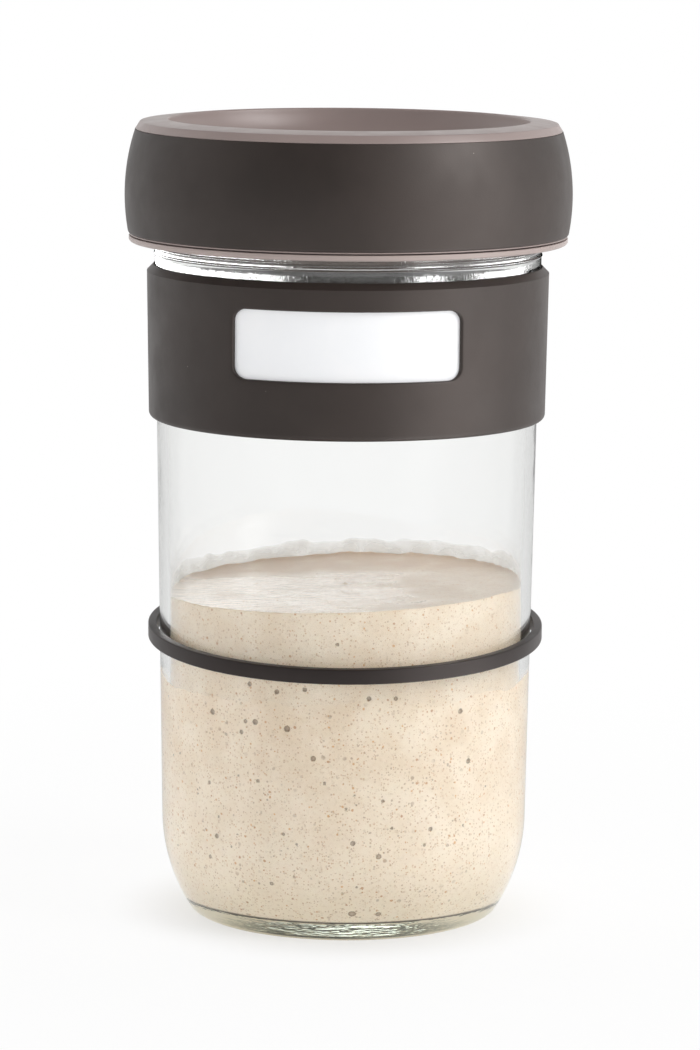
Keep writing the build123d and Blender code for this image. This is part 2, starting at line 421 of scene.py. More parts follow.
class Value:
    """Output of a node. Its methods add a node that works on it and give that node's output."""

    def __init__(self, nodes, socket):
        self.nodes, self.socket = nodes, socket

    def math(self, operation, *others):
        """Result of one sum with other values."""
        return self.nodes.get("Math", "Value", dict(enumerate((self, *others))), operation=operation)

    def vector(self, operation, *others):
        """Result of one vector sum, which is a number for a length or a dot product."""
        output = "Value" if operation in ("LENGTH", "DOT_PRODUCT") else "Vector"
        return self.nodes.get("VectorMath", output, dict(enumerate((self, *others))), operation=operation)

    def __add__(self, other):
        return self.math("ADD", other)

    def __mul__(self, other):
        return self.math("MULTIPLY", other)

    def most(self, other):
        """Larger of two values."""
        return self.math("MAXIMUM", other)

    def left(self):
        """What this share leaves of 1."""
        return self.nodes.get("Math", "Value", {0: 1.0, 1: self}, operation="SUBTRACT")

    def part(self, axis):
        """One coordinate."""
        return self.nodes.get("SeparateXYZ", axis, {"Vector": self})

    def radius(self):
        """Distance from the axis, in metres."""
        return self.vector("MULTIPLY", (1.0, 1.0, 0.0)).vector("LENGTH")

    def facing(self, azimuth, elevation=0.0):
        """How far this direction points toward an azimuth and an elevation, up to 1."""
        return self.vector("DOT_PRODUCT", toward(azimuth, elevation))

    def stretch(self, *scale):
        """Place with each coordinate scaled."""
        return self.nodes.get("Mapping", "Vector", {"Vector": self, "Scale": scale})

    def remap(self, low, high, to_low=0.0, to_high=1.0, kind="SMOOTHSTEP"):
        """Value stretched from one span to another and held inside it."""
        values = {"Value": self, 1: low, 2: high, 3: to_low, 4: to_high}
        return self.nodes.get("MapRange", "Result", values, interpolation_type=kind)

    def choose(self, first, second):
        """Two numbers mixed by this share."""
        return self.nodes.get("Mix", 0, {0: self, 2: first, 3: second})

    def blend(self, first, second):
        """Two colours mixed by this share."""
        return self.nodes.get("Mix", 2, {0: self, 6: first, 7: second}, data_type="RGBA")

    def bump(self, distance, strength=1.0):
        """Normal bent by this height, so many metres deep at a value of 1."""
        return self.nodes.get("Bump", "Normal", {"Height": self, "Distance": distance, "Strength": strength})


class Nodes:
    """Node tree with short ways to add to it."""

    def __init__(self, tree):
        self.tree = tree

    def feed(self, node, values):
        """Sets a node's inputs to numbers, or links them to the outputs of others."""
        for name, value in values.items():
            if isinstance(value, Value):
                self.tree.links.new(value.socket, node.inputs[name])
            else:
                node.inputs[name].default_value = value

    def get(self, kind, output, values=None, **settings):
        """Output of a new node with these inputs and settings."""
        node = self.tree.nodes.new("ShaderNode" + kind)
        for name, value in settings.items():
            setattr(node, name, value)
        self.feed(node, values or {})
        return Value(self, node.outputs[output])

    def spot(self):
        """Place on the surface in the shared frame, in metres."""
        return self.get("TexCoord", "Object")

    def attribute(self, name):
        """Value that the mesh carries at its points."""
        return self.get("Attribute", "Fac", attribute_name=name)

    def clouds(self, scale, detail=3.0, roughness=0.5, spot=None):
        """Noise from 0 to 1."""
        values = {"Vector": spot or self.spot(), "Scale": scale, "Detail": detail, "Roughness": roughness}
        return self.get("TexNoise", "Fac", values)

    def specks(self, scale, kept_share, radius_share, spot=None):
        """Small round spots, one in each kept cell, from 0 to 1, and a random tone for each."""
        cells = {"Vector": spot or self.spot(), "Scale": scale}
        colour = {"Color": self.get("TexVoronoi", "Color", cells, feature="F1")}
        kept = self.get("SeparateColor", "Red", colour).math("LESS_THAN", kept_share)
        radius = self.get("SeparateColor", "Green", colour) * radius_share + radius_share / 2
        spots = self.get("TexVoronoi", "Distance", cells, feature="F1").math("DIVIDE", radius)
        return spots.remap(1.0, 0.6) * kept, self.get("SeparateColor", "Blue", colour)

    def ray(self, question):
        """Light Path's answer about the ray."""
        return self.get("LightPath", question)

    def rough_ray(self):
        """1 for a blurred reflection, such as silicone's, and 0 for a sharp one, such as glass's."""
        return self.ray("Is Glossy Ray") * self.ray("Is Singular Ray").left()

    def sharp_ray(self):
        """1 for a mirror reflection, such as glass's, and 0 for a blurred one."""
        return self.ray("Is Reflection Ray") * self.ray("Is Singular Ray")

    def indirect_view(self):
        """1 for a ray that shows the studio in glass or in a reflection, and does not light a surface."""
        bent = self.ray("Is Glossy Ray").most(self.ray("Is Transmission Ray"))
        return bent * self.ray("Diffuse Depth").math("LESS_THAN", 0.5)


def new_material(name):
    """Material with its nodes, its Principled shader, its output, and the place on its surface."""
    material = bpy.data.materials.new(name)
    material.use_nodes = True
    tree = material.node_tree
    nodes = Nodes(tree)
    return material, nodes, tree.nodes["Principled BSDF"], tree.nodes["Material Output"], nodes.spot()


def satin_material(name, tones, clouds, scuffs, roughness, grain, **others):
    """Satin surface: two tones in soft clouds, patchy roughness, and a fine grain in the bump."""
    material, nodes, shader, _, _ = new_material(name)
    (first, second, *tone_span), (scale, depth, strength) = tones, grain
    base = nodes.clouds(*clouds).remap(*tone_span).blend(first, second)
    nodes.feed(shader, {
        "Base Color": base,
        "Roughness": nodes.clouds(*scuffs).remap(*roughness, "LINEAR"),
        "Normal": nodes.clouds(scale, 2.0).bump(depth, strength),
        **others,
    })
    return material, nodes, shader, base


def silicone_material(name, colour, roughness, gloss=0.44):
    """Satin moulded silicone with a fine grain, soft clouding and a little dust."""
    tones = (shaded(colour, 0.86), shaded(colour, 1.16), 0.3, 0.7)
    patches = (0.25, 0.75, roughness - 0.06, roughness + 0.08)
    material, nodes, shader, base = satin_material(
        name, tones, (38.0, 4.0, 0.55), (90.0, 5.0, 0.6), patches, (2600.0, 0.00003, 0.5),
    )
    dust, _ = nodes.specks(210.0, 0.16, 0.03)
    nodes.feed(shader, {
        "Base Color": (dust * 0.5).blend(base, srgb(176, 166, 158)),
        "Specular IOR Level": gloss,
        "Specular Tint": (1.0, 0.92, 0.88, 1.0),
    })
    return material


def plastic_material(name, colour, roughness):
    """Moulded plastic with a faint flow mottling and fine scuffs."""
    tones = (shaded(colour, 0.94), shaded(colour, 1.05), 0.3, 0.7)
    patches = (0.25, 0.75, roughness - 0.06, roughness + 0.1)
    return satin_material(name, tones, (30.0,), (160.0, 6.0, 0.65), patches, (1900.0, 0.00002, 0.4))[0]


def white_plate_material(name):
    """Satin white writable plastic with faint wiped traces."""
    tones, traces = (srgb(246, 247, 249), srgb(250, 250, 251), 0.35, 0.75), (75.0, 5.0, 0.6)
    return satin_material(name, tones, traces, traces, (0.3, 0.7, 0.32, 0.44), (1500.0, 0.00002, 0.3))[0]


def film_material(name):
    """Thin smear of dough on the glass, see-through and patchy."""
    material, nodes, shader, _, _ = new_material(name)
    nodes.feed(shader, {
        "Base Color": nodes.clouds(140.0).remap(0.35, 0.65).blend(srgb(220, 215, 207), srgb(236, 233, 228)),
        "Roughness": 0.6,
        "Specular IOR Level": 0.2,
        "Alpha": nodes.attribute("thickness") * nodes.clouds(170.0).remap(0.3, 0.65, 0.6, 1.0),
    })
    return material


def glass_material(name):
    """Clear soda glass that lets lamps through: a slight green tint, waviness and a bright neck."""
    material, nodes, shader, output, spot = new_material(name)
    height = spot.part("Z")
    lines = nodes.clouds(1500.0, 2.0, 0.55, spot.stretch(0.16, 0.16, 1.0))
    streaks = lines * height.remap(*in_metres(foot_streak_heights))
    outside = spot.radius().math("GREATER_THAN", neck_polish_radius * MM)
    crackle = nodes.clouds(1300.0, 3.0, 0.6, spot.stretch(1.0, 1.0, 0.35))
    nodes.feed(shader, {
        "Base Color": WHITE,
        "Transmission Weight": 1.0,
        "IOR": 1.5,
        "Roughness": 0.0,
        "Normal": (nodes.clouds(55.0, 2.0, 0.5, spot) + streaks).bump(0.0002, 0.35),
        "Coat Weight": height.remap(*in_metres(neck_polish_heights)) * outside,
        "Coat Roughness": 0.0,
        "Coat IOR": 2.2,
        "Coat Normal": crackle.bump(0.00011),
    })
    clear = nodes.get("BsdfTransparent", "BSDF", {"Color": (0.98, 0.985, 0.98, 1.0)})
    surface = Value(nodes, shader.outputs["BSDF"])
    for question in ("Is Diffuse Ray", "Is Shadow Ray"):
        surface = nodes.get("MixShader", "Shader", {0: nodes.ray(question), 1: surface, 2: clear})
    tint = {"Color": (0.83, 0.87, 0.80, 1.0), "Density": 26.0}
    nodes.feed(output, {"Surface": surface, "Volume": nodes.get("VolumeAbsorption", "Volume", tint)})
    return material


# Small pores, large pores, dust and bran in the starter: cells in a metre, share of the cells that
# have one, its size in its cell, its two tones, its cover, and the depth of a pore in the bump
# The pores' darker tones are painted shade in their hollows; the dust and bran keep their own colour
dough_specks = (
    (1250.0, 0.5, 0.30, (188, 150, 112), (158, 132, 110), 0.62, 0.5),
    (620.0, 0.22, 0.28, (172, 134, 100), (150, 130, 112), 0.6, 1.0),
    (1900.0, 0.4, 0.36, (206, 158, 104), (180, 146, 116), 0.6, 0.0),
    (880.0, 0.18, 0.26, (222, 168, 98), (186, 134, 92), 0.75, 0.0),
)


def dough_material(name):
    """Wet flour dough: cream with pores, bran and clouding, and a wet sheen on its top. Painted shade darkens
    its pores, bubbles, lower corner, underside and top, and painted light makes it paler low down.
    """
    material, nodes, shader, _, spot = new_material(name)
    height, radius = spot.part("Z"), spot.radius()
    cloud = nodes.clouds(110.0, 5.0, 0.6, spot)
    base = cloud.remap(0.32, 0.68).blend(srgb(235, 215, 191), srgb(245, 229, 209))
    # Painted light: paler toward the bottom, standing in for the light that the white floor throws up into
    # the starter
    painted_light_share = height.remap(*in_metres(painted_light_heights), 0.0, 0.6)
    base = painted_light_share.blend(base, srgb(248, 234, 215))
    fine = nodes.clouds(1100.0, 3.0, 0.6, spot)
    base = fine.remap(0.52, 0.8, 0.0, 0.5).blend(base, srgb(206, 180, 150))

    airy = height.remap(*in_metres(starter_airy_heights), 0.3, 1.0)
    airy = airy * nodes.clouds(60.0, 3.0, 0.5, spot).remap(0.35, 0.6, 0.4, 1.0)
    airy = airy * nodes.clouds(260.0, 2.0, 0.5, spot).remap(0.4, 0.6, 0.25, 1.0)
    wobble = nodes.get("TexNoise", "Color", {"Vector": spot, "Scale": 900.0, "Detail": 2.0})
    bent = wobble.vector("MULTIPLY_ADD", (0.0004,) * 3, spot)
    dents = fine
    for scale, kept, size, first, second, cover, depth in dough_specks:
        found, tone = nodes.specks(scale, kept, size, bent)
        if depth:
            found = found * airy
            dents = found * -depth + dents
        # A pore's tone is painted shade; a speck of dust or bran keeps its own colour
        base = (found * cover).blend(base, tone.blend(srgb(*first), srgb(*second)))
    # Painted shade in the bubbles' hollows, darkest at their rims; in the heel a bubble is only painted, not
    # pressed in
    base = (nodes.attribute("bubble_shade") * 0.8).blend(base, srgb(128, 103, 78))

    # Painted shade: a dark line where the starter's wall meets the glass floor, and a painted shadow in the
    # middle of its underside
    corner = height.remap(*in_metres(corner_shade_heights))
    base = corner.blend(base, srgb(58, 46, 34))
    underside_shade = corner * radius.remap(*in_metres(underside_shade_radii))
    painted_light_share = radius.remap(*in_metres(starter_shadow_radii))
    base = underside_shade.blend(base, painted_light_share.blend(srgb(46, 39, 30), srgb(240, 227, 206)))
    # Crust at the back edge of the top, and painted shade across the whole top
    base = (nodes.attribute("crust_and_shade") * 0.8).blend(base, srgb(214, 184, 158))

    wet = nodes.attribute("wet")
    gloss = wet * nodes.clouds(90.0, 4.0, 0.6, spot).remap(0.35, 0.55, 0.5, 1.0)
    ripple = nodes.clouds(560.0, 2.0, 0.5, spot.stretch(0.4, 1.0, 1.0)) * wet
    nodes.feed(shader, {
        "Base Color": base,
        "Roughness": gloss.remap(0.0, 1.0, 0.45, 0.08, "LINEAR"),
        "Specular IOR Level": 0.6,
        "Subsurface Weight": 0.15,
        "Subsurface Radius": (1.0, 0.6, 0.35),
        "Subsurface Scale": 0.0012,
        "Normal": (ripple * 3.4 + dents).bump(0.00015, 0.6),
    })
    return material


def dress(piece, body, material, slot, *nodes):
    """Gives a piece its material and body, and lets it stand for CAD nodes; its slot is not used."""
    piece.data.materials.clear()
    piece.data.materials.append(material)
    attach(piece, body)
    if nodes:
        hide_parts(*nodes)


# Glass jar
def glass_outline():
    """Section of the glass, from the middle of its underside round to the middle of its floor."""
    punt_radius = bearing_edge.x - bearing_width
    punt_edge = punt_radius - punt_step_width
    points = []
    for step in range(punt_steps + 1):
        share = step / punt_steps
        points.append(Vector((punt_edge * share, punt_rise - (punt_rise - punt_step) * share**2)))
    punt = [(punt_edge, punt_step), (punt_radius, 0, punt_rounding), (*bearing_edge,)]
    points += soften(punt, closed=False)[1:]
    points += list(reversed(outer_heel[:-1]))
    points += spread(wall_foot, wall_top, wall_steps)
    for bead_height in neck_bead_heights:
        for step in range(bead_steps + 1):
            share = step / bead_steps
            out = neck_radius + neck_bead_reach * math.sin(math.pi * share) ** 2
            points.append(Vector((out, bead_height + neck_bead_width * (share - 0.5))))
    rim = soften(
        [
            (*points[-1],),
            (neck_radius, jar_height),
            (bore_radius, jar_height),
            (bore_radius, jar_height - bore_height),
        ],
        steps=8,
        closed=False,
        common=rim_rounding,
    )
    points += rim[1:]
    bore_foot = rim[-1]
    wall_head = wall_point(bore_foot.y - bore_blend_height, -body_wall)
    fall = wall_head - bore_foot
    for step in range(1, bore_blend_steps + 1):
        share = step / bore_blend_steps
        points.append(bore_foot + Vector((fall.x * ease(share), fall.y * share)))
    points += spread(wall_head, inner_foot, wall_steps) + inner_heel[1:]
    middle_of_floor = Vector((0, base_thickness))
    points += spread(inner_floor_edge, middle_of_floor, floor_steps)
    return points


def wavy_glass(x, y, z):
    """Moulded glass is never quite true on its inside: a slow unevenness of the wall."""
    radius = math.hypot(x, y)
    on_wall = heel_height < z < jar_height - neck_height
    if not on_wall or radius >= wall_point(z).x - body_wall / 2:
        return x, y, z
    scale = 1 + wall_unevenness(x, y, z) / radius
    return x * scale, y * scale, z


glass = lathe("jar_glass", glass_outline(), closed=False, crease=50.0, shape=wavy_glass)
dress(glass, "jar", glass_material("clear_soda_glass"), "clear_glass", "glass_jar")

# Camera at the photograph's viewpoint. Its frame is 700 by 1050 pixels.
picture_width = 700
picture_height = 1050
focal_pixels = 4480
camera_side = 1.0
camera_distance = 1080.1
camera_height = 262.2
camera_pitch = math.radians(8.80)
camera_roll = math.radians(0.494)
sensor_height = 36.0

camera_data = bpy.data.cameras.new("camera")
camera_data.sensor_width = sensor_height
camera_data.lens = focal_pixels * sensor_height / picture_height
camera_data.clip_start = 0.05
camera_data.clip_end = 60.0
camera = add_object("camera", camera_data)
camera.matrix_world = (
    Matrix.Translation(Vector((camera_side, -camera_distance, camera_height)) * MM)
    @ Matrix.Rotation(math.pi / 2 - camera_pitch, 4, "X")
    @ Matrix.Rotation(camera_roll, 4, "Z")
)
bpy.context.scene.camera = camera


def wall_spot(across, down):
    """Azimuth and height where a place in the camera's frame meets the outside of the glass wall."""
    aside = (across - picture_width / 2) / focal_pixels
    below = (down - picture_height / 2) / focal_pixels
    ray = (camera.matrix_world.to_3x3() @ Vector((aside, -below, -1))).normalized()
    start = camera.matrix_world.translation / MM
    height = starter_level
    for _ in range(8):
        radius = section_spot(outer_heel, 0, height)[0].x
        flat = ray.x**2 + ray.y**2
        half = start.x * ray.x + start.y * ray.y
        root = half**2 - flat * (start.x**2 + start.y**2 - radius**2)
        hit = start + ray * ((-half - math.sqrt(max(root, 0))) / flat)
        height = hit.z
    return math.atan2(hit.y, hit.x), height


# Sourdough starter: its wall wets the glass low down and stands off it near the top. The bubbles that
# stand out are listed: how far across and down they lie in the camera's frame, and their radius
bubble_places = [
    (246, 685, 0.55), (274, 693, 0.6), (303, 691, 0.55), (242, 722, 0.5), (252, 723, 0.7), (285, 730, 0.75),
    (238, 733, 0.5), (337, 646, 0.45), (370, 700, 0.55), (398, 700, 0.5), (353, 845, 0.6), (380, 858, 0.65),
    (353, 914, 0.9), (382, 914, 0.7),
]
stray_bubbles = 90
bubble_depth_share = 0.7
bubble_lowest = 14
bubble_top_gap = 12
bubble_smallest = 0.25
bubble_spread = 0.45
bubble_margin = 1.6
bubble_cuts = 3
bubble_band = 20
# Painted shade at a bubble's middle, as a share of that at its rim
bubble_middle_shade = 0.55


def bubble_list():
    """Azimuth, height and radius of each bubble that shows against the glass."""
    bubbles = [(*wall_spot(across, down), size) for across, down, size in bubble_places]
    chance = random.Random(7)
    for _ in range(stray_bubbles):
        azimuth = chance.uniform(-math.pi, math.pi)
        height = bubble_lowest + (wetting_line - bubble_top_gap) * chance.random() ** 0.8
        bubbles.append((azimuth, height, bubble_smallest + bubble_spread * chance.random() ** 2.5))
    return bubbles


def bubble_centres():
    """Outward direction, centre and radius of each bubble, in metres."""
    centres = []
    for azimuth, height, size in bubble_list():
        centre, normal = section_spot(inner_heel, -body_wall, height)
        centres.append((Vector(turned(azimuth, *normal)), Vector(turned(azimuth, *centre)) * MM, size * MM))
    return centres


def starter_outline():
    """Section of the starter, from its underside up to the middle of its top, and where its wall ends."""
    heel = heel_points(inner_foot, inner_floor_edge, floor_rounding, starter_heel_steps)
    points = [Vector((inner_floor_edge.x * step / 6, base_thickness)) for step in range(6)]
    points += [*reversed(heel), inner_foot]
    head = wall_point(starter_level, -body_wall)
    points += spread(inner_foot, head, round((head.y - inner_foot.y) / row_spacing))
    wall_end = len(points)
    for step in range(1, starter_top_steps + 1):
        points.append(Vector((head.x * (1 - (step / starter_top_steps) ** 1.15), starter_level)))
    return points, wall_end


def starter_shape(x, y, z, on_top):
    """Moves one point of the plain starter to its wetted wall or its uneven top."""
    radius = math.hypot(x, y)
    if radius < 1e-6:
        return x, y, z
    across, along = x / radius, y / radius
    slope = starter_lean * x
    lumps = 0.45 * round_wave(across, along, 5.0, 1.7) + 0.3 * round_wave(across, along, 1.9, 4.2)
    climb = (starter_edge_rise + lumps) * (0.35 + 0.65 * (0.5 + 0.5 * along))
    if on_top:
        edge = wall_point(starter_level, -body_wall).x
        inset = edge - radius
        swell = 0.35 * wave(x, y, 0, 26.0, 2.2) + 0.1 * wave(x, y, 0, 7.0, 5.5)
        swell += 0.035 * wave(x * 0.5, y, 0, 2.2, 8.8)
        climb *= math.exp(-inset / edge_climb_width)
        swell *= 1 - math.exp(-inset / edge_calm_width)
        lift = slope + climb + swell - starter_sink
        radius = min(radius, edge - starter_air_gap)
        return across * radius, along * radius, z + lift
    if z < base_thickness + 0.01 and radius < inner_floor_edge.x:
        return x, y, z - starter_wetting
    line = wetting_line + wetting_line_depth * round_wave(across, along, 14.0, 6.1)
    line += 0.6 * round_wave(across, along, 3.0, 9.3)
    out = starter_wetting - (starter_wetting + starter_air_gap) * ease((z - line) / wetting_blend)
    if z > heel_height:
        out += wall_unevenness(x, y, z)
    lift = hold((z - starter_level + edge_lift_height) / edge_lift_height) * (climb - starter_sink + slope)
    return across * (radius + out), along * (radius + out), z + lift


def refine_bubbles(shape, centres):
    """Divides the mesh finely where bubbles lie."""
    chosen = set()
    for edge in shape.edges:
        middle = (edge.verts[0].co + edge.verts[1].co) / 2
        if middle.z > (wetting_line + bubble_band) * MM:
            continue
        for _, centre, size in centres:
            reach = size * bubble_margin
            if abs(middle.z - centre.z) < reach and (middle - centre).length < reach + 0.3 * MM:
                chosen.add(edge)
                break
    bmesh.ops.subdivide_edges(shape, edges=list(chosen), cuts=bubble_cuts, use_grid_fill=True)


def mark_top(shape):
    """Writes where the starter's top is wet, and where it has dried to a crust, with painted shade across the
    top that grows to the right.
    """
    wetness = shape.verts.layers.float.new("wet")
    crust_and_shade = shape.verts.layers.float.new("crust_and_shade")
    for vertex in shape.verts:
        if vertex.normal.z > 0.6 and vertex.co.z > (starter_level - crust_depth) * MM:
            across, along = vertex.co.x / MM, vertex.co.y / MM
            shore = hold((20 + 5 * wave(across, along, 0, 12.0, 8.1) - along) / 8)
            pool = 0.75 - across / 40 + 0.5 * wave(across, along, 0, 16.0, 3.3)
            vertex[wetness] = shore * hold(pool, 0.15)
            edge = math.hypot(across, along) / wall_point(starter_level, -body_wall).x
            crust_and_shade_share = edge**4 * hold(along / 30 + 0.2) + 0.35 * hold((along - 12) / 14)
            # Painted shade: an even darkening across the whole top, stronger to the right
            crust_and_shade_share += 0.15 + 0.15 * hold((across + 20) / 30)
            vertex[crust_and_shade] = min(crust_and_shade_share * (1 + 0.8 * wave(across, along, 0, 6.0, 4.4)), 1)


def press_bubbles(shape, centres, depths):
    """Presses the bubbles in above the heel, and writes where each one is as a painted shade, darkest at its
    rim.
    """
    for vertex in shape.verts:
        if vertex.co.z > (wetting_line + bubble_band) * MM:
            continue
        for direction, centre, size in centres:
            if abs(vertex.co.z - centre.z) > size:
                continue
            gap = vertex.co - centre
            away = (gap - direction * gap.dot(direction)).length / size
            if away < 1 and gap.length < 3 * size:
                if centre.z > heel_height * MM:
                    vertex.co -= direction * size * bubble_depth_share * math.sqrt(1 - away * away)
                vertex[depths] = min(1.0, bubble_middle_shade + (1 - bubble_middle_shade) * away)
                break


def make_starter():
    """The starter's mesh, finer where bubbles lie, with its bubbles pressed in."""
    outline, wall_end = starter_outline()
    points, rings = turned_grid(outline, starter_segments)
    top_points = {index for ring in rings[wall_end:] for index in ring}
    faces = []
    for lower, upper in zip(rings, rings[1:]):
        faces += ring_faces(lower, upper)
    points = [starter_shape(*point, index in top_points) for index, point in enumerate(points)]
    piece = make_mesh("starter_dough", points, faces, 60.0)
    shape = bmesh.new()
    shape.from_mesh(piece.data)
    centres = bubble_centres()
    refine_bubbles(shape, centres)
    depths = shape.verts.layers.float.new("bubble_shade")
    mark_top(shape)
    press_bubbles(shape, centres, depths)
    shape.to_mesh(piece.data)
    shape.free()
    piece.data.polygons.foreach_set("use_smooth", [True] * len(piece.data.polygons))
    return piece


dress(make_starter(), "jar", dough_material("sourdough"), "starter_dough", "sourdough_starter")


# Smear of starter left on the glass above its back edge
def smear_spot(turn, rise, depth):
    """Point of the smear, on the inside of the glass, below a lumpy upper edge."""
    azimuth = smear_start + (smear_end - smear_start) * turn
    across, along = math.cos(azimuth), math.sin(azimuth)
    lump = 0.9 * round_wave(across, along, 9.0, 1.3) + 0.5 * round_wave(across, along, 3.1, 7.7)
    reach = max(smear_least, (smear_reach + 1.2 * lump) * smear_ends(turn))
    foot = starter_level + starter_lean * across * noise_radius - smear_drop
    height = foot + (reach + smear_drop) * rise
    radius = wall_point(height, -body_wall - depth).x
    return across * radius, along * radius, height


def smear_ends(turn):
    """Share that fades the smear out at both ends."""
    return min(1, 6 * turn, 6 * (1 - turn))


def make_film():
    """The smear, with how thickly it covers the glass written at its points."""
    columns, rows = 420, 8
    depths = (smear_gap, smear_gap + smear_thickness)
    piece = make_shell("starter_smear", columns, rows, depths, smear_spot)
    cover = []
    for column in range(columns + 1):
        for row in range(rows + 1):
            thick = (0.62 - 0.42 * row / rows) * (1 if row < rows else 0.5)
            cover.append(thick * smear_ends(column / columns))
    piece.data.attributes.new("thickness", "FLOAT", "POINT").data.foreach_set("value", cover * len(depths))
    return piece


dress(make_film(), "jar", film_material("dough_smear"), "starter_dough")

# Label band: a turned skin with a patch that holds the window and the plate's pocket
band_outside = band_gap + band_thickness
band_chamfer = band_thickness - band_top_land
pocket_depth = band_gap + plate_thickness + pocket_gap
patch_half_steps = SEGMENTS // 8
patch_half_angle = 2 * math.pi * patch_half_steps / SEGMENTS
side_rows = 32
corner_steps = 5
edge_steps = 5
foot_steps = 7


def window_outline(expansion):
    """Points (across, height) of the window grown by this much, anticlockwise from its lower left."""
    rounding = window_corner + expansion
    half_width = window_width / 2 + expansion - rounding
    half_height = window_height / 2 + expansion - rounding
    centres = [(-half_width, -half_height), (half_width, -half_height), (half_width, half_height)]
    centres.append((-half_width, half_height))
    straight = [2 * patch_half_steps - 2 * corner_steps, side_rows - 2 * corner_steps] * 2
    points = []
    for side in range(4):
        start, end = centres[side], centres[(side + 1) % 4]
        facing = math.radians(-90 + 90 * side)
        turns = [math.radians(45) * step / corner_steps for step in range(corner_steps)]
        stops = [(start, facing - math.radians(45) + turn) for turn in turns]
        stops += [(between(start, end, step / straight[side]), facing) for step in range(straight[side])]
        stops += [(end, facing + turn) for turn in turns]
        for centre, angle in stops:
            across, up = centre[0] + rounding * math.cos(angle), centre[1] + rounding * math.sin(angle)
            points.append((across, window_middle + up))
    return points


def patch_border(low, high):
    """Points (azimuth from the front, height) of the patch's border, in the outline's order."""
    left, right = -patch_half_angle, patch_half_angle
    stops = [(left, low), (right, low), (right, high), (left, high)]
    points = []
    for start, end, count in zip(stops, stops[1:] + stops[:1], [2 * patch_half_steps, side_rows] * 2):
        points += [between(start, end, step / count) for step in range(count)]
    return points


def on_cone(turn, height, out):
    """Point this far out from the glass wall, at an azimuth counted from the front."""
    radius = wall_point(height, out).x
    return (radius * math.sin(turn), -radius * math.cos(turn), height)


def window_ring(expansion):
    """The grown window as azimuths and heights on the outside of the band."""
    outline = window_outline(expansion)
    return [(math.asin(across / wall_point(height, band_outside).x), height) for across, height in outline]


def blend_rings(start, end, shares, out):
    """Rings part of the way from one ring to another, each this far out from the glass."""
    return [([between(a, b, share) for a, b in zip(start, end)], out) for share in shares]


def make_band():
    """The whole band: turned skin, window with rounded edges, and the pocket behind it."""
    low, high = band_bottom + band_foot_rounding, band_top - band_chamfer
    outer = [wall_point(low + (high - low) * row / side_rows, band_outside) for row in range(side_rows + 1)]
    fall = band_bottom - band_top
    inner = [wall_point(band_top + fall * row / side_rows, band_gap) for row in range(side_rows + 1)]
    crest = wall_point(band_top, band_gap + band_top_land)
    foot = wall_point(band_bottom, band_outside - band_foot_rounding)
    middle = wall_point(low, band_outside - band_foot_rounding)
    top = [(*outer[-1],), (*crest,), (*inner[0],), (*inner[1],)]
    edge = soften(top, 3, False, band_top_rounding)
    skirt = sweep_arc(middle, foot, outer[0], foot_steps)
    points, rings = turned_grid(outer + edge[1:-1] + inner[1:] + [foot] + skirt[:-1], SEGMENTS)
    faces = []
    front = SEGMENTS * 3 // 4
    open_steps = set(range(front - patch_half_steps, front + patch_half_steps))
    first_inner = len(outer) + len(edge) - 3
    for index in range(len(rings)):
        made = ring_faces(rings[index], rings[(index + 1) % len(rings)])
        if index < side_rows or first_inner <= index < first_inner + side_rows:
            made = [face for step, face in enumerate(made) if step not in open_steps]
        faces += made

    # Rings from the patch's border to the window's edge, through the window, and out behind the pocket
    rounding = window_edge_rounding
    outside_border, inside_border = patch_border(low, high), patch_border(band_bottom, band_top)
    inside_border = [(turn, min(height, edge[-2].y)) for turn, height in inside_border]
    pocket = window_ring(plate_margin + pocket_gap)
    stack = blend_rings(outside_border, window_ring(rounding), (0, 0.25, 0.5, 0.75, 0.92, 1), band_outside)
    for step in range(1, edge_steps + 1):
        angle = math.radians(90 / edge_steps * step)
        ring = window_ring(rounding * (1 - math.sin(angle)))
        stack.append((ring, band_outside - rounding * (1 - math.cos(angle))))
    stack += [(window_ring(0), pocket_depth), (pocket, pocket_depth), (pocket, band_gap)]
    stack += blend_rings(pocket, inside_border, (0.3, 0.7, 1), band_gap)
    lines = []
    for ring, out in stack:
        lines.append(list(range(len(points), len(points) + len(ring))))
        points += [on_cone(turn, height, out) for turn, height in ring]
    for lower, upper in zip(lines, lines[1:]):
        faces += ring_faces(lower, upper)
    return make_mesh("band_sleeve", points, faces, 40.0)


dark_silicone = silicone_material("dark_silicone_satin", srgb(47, 40, 37), 0.48)
dress(make_band(), "band", dark_silicone, "dark_silicone", "label_band")


# Label plate
def plate_spot(turn, rise, out):
    """Point of the plate, a curved strip with rounded corners that fills the pocket behind the window."""
    half_width = window_width / 2 + plate_margin
    half_height = window_height / 2 + plate_margin
    across = -half_width * math.cos(math.pi * turn)
    past = max(abs(across) - (half_width - plate_corner), 0)
    tall = half_height - plate_corner + math.sqrt(max(plate_corner**2 - past**2, 0))
    height = window_middle + tall * (2 * rise - 1)
    return on_cone(math.asin(across / wall_point(height, out).x), height, out)


plate = make_shell("write_on_plate", 120, 10, (band_gap + plate_thickness, band_gap), plate_spot, 40.0)
dress(plate, "band", white_plate_material("satin_white_plate"), "white_plate", "label_plate")


# Level ring
def lean(x, y, z):
    """The ring lies tilted on the jar, lower at the front."""
    return x, y, ring_middle + z / math.cos(ring_tilt) + y * math.tan(ring_tilt)


